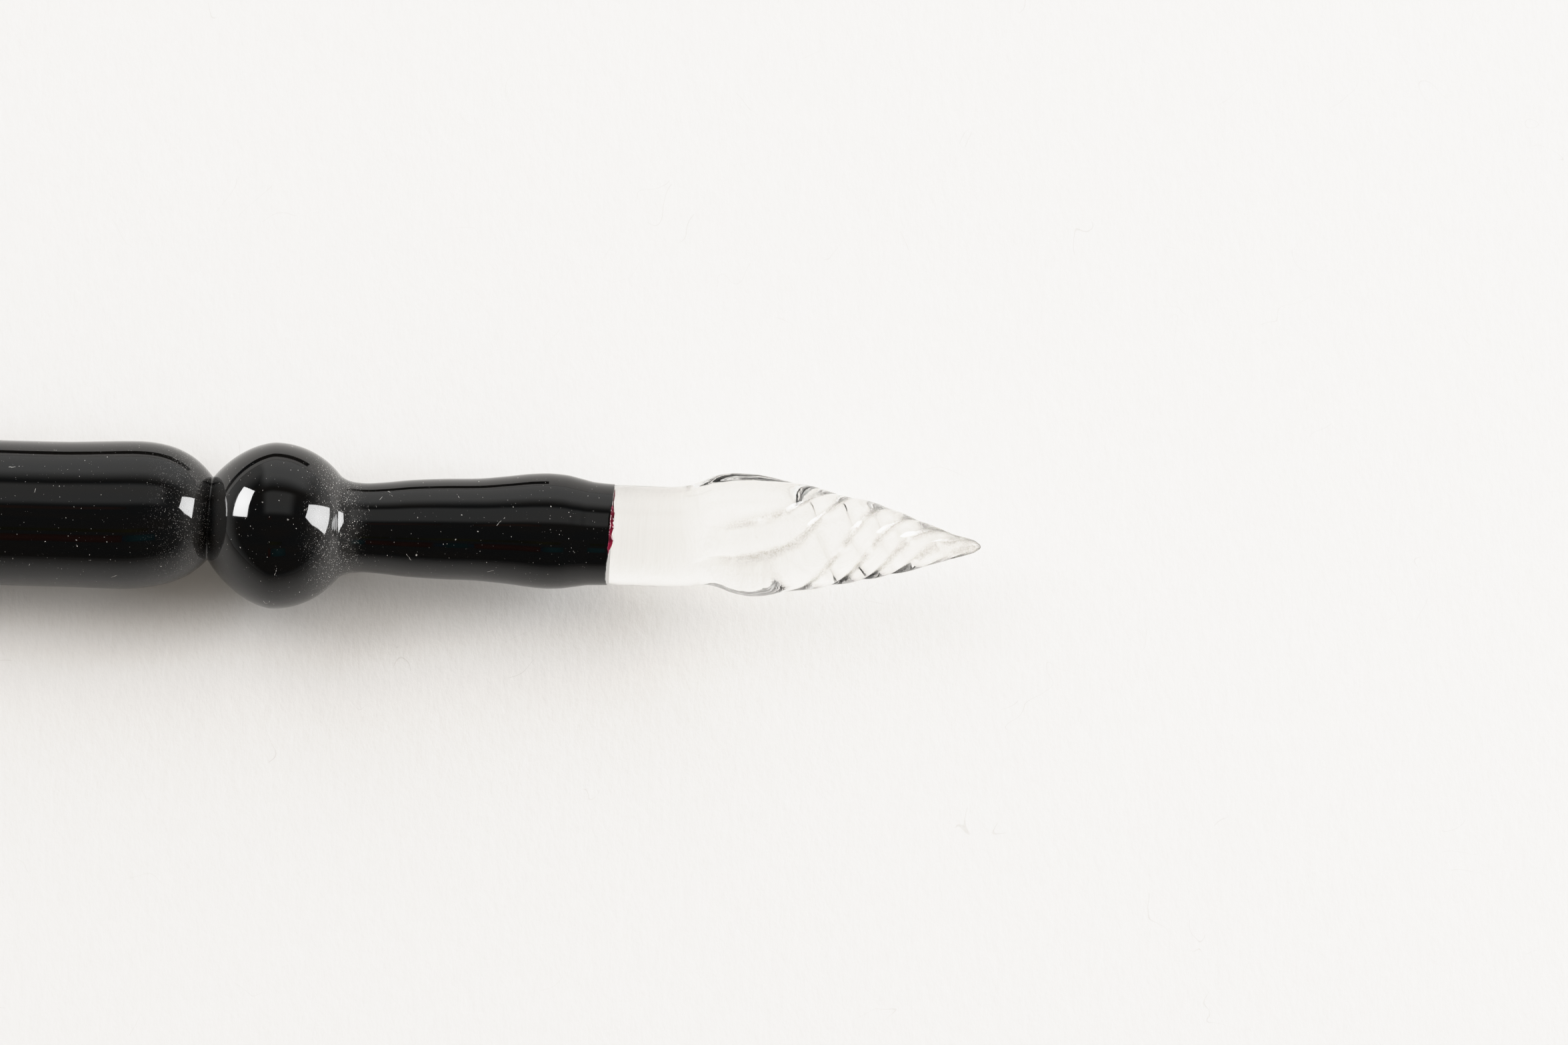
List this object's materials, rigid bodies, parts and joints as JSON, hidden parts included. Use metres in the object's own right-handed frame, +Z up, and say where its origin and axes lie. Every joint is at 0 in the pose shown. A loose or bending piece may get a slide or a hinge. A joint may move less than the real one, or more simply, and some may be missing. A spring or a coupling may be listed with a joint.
{
  "type": "glass dip pen",
  "caption": "Lampworked black glass dip pen with a waisted handle, a bead and a clear glass nib of twisted ribs.",
  "frame": {"origin": "centre of the small ground flat at the tail end of the handle, on the pen's axis", "axes": "+X runs along the pen from the tail flat to the nib's tip, +Z is up as the pen lies on a table, +Y is across the pen, to the left of its pointing direction"},
  "size_m": [0.175, 0.0133, 0.0132],
  "materials": {
    "black_glass": "polished",
    "ruby_glass": "polished",
    "clear_glass": "polished"
  },
  "bodies": {
    "root": {"tail_knob": "black_glass", "barrel": "black_glass", "ball": "black_glass", "grip": "black_glass", "ruby_rim": "ruby_glass", "nib": "clear_glass"}
  },
  "joints": []
}
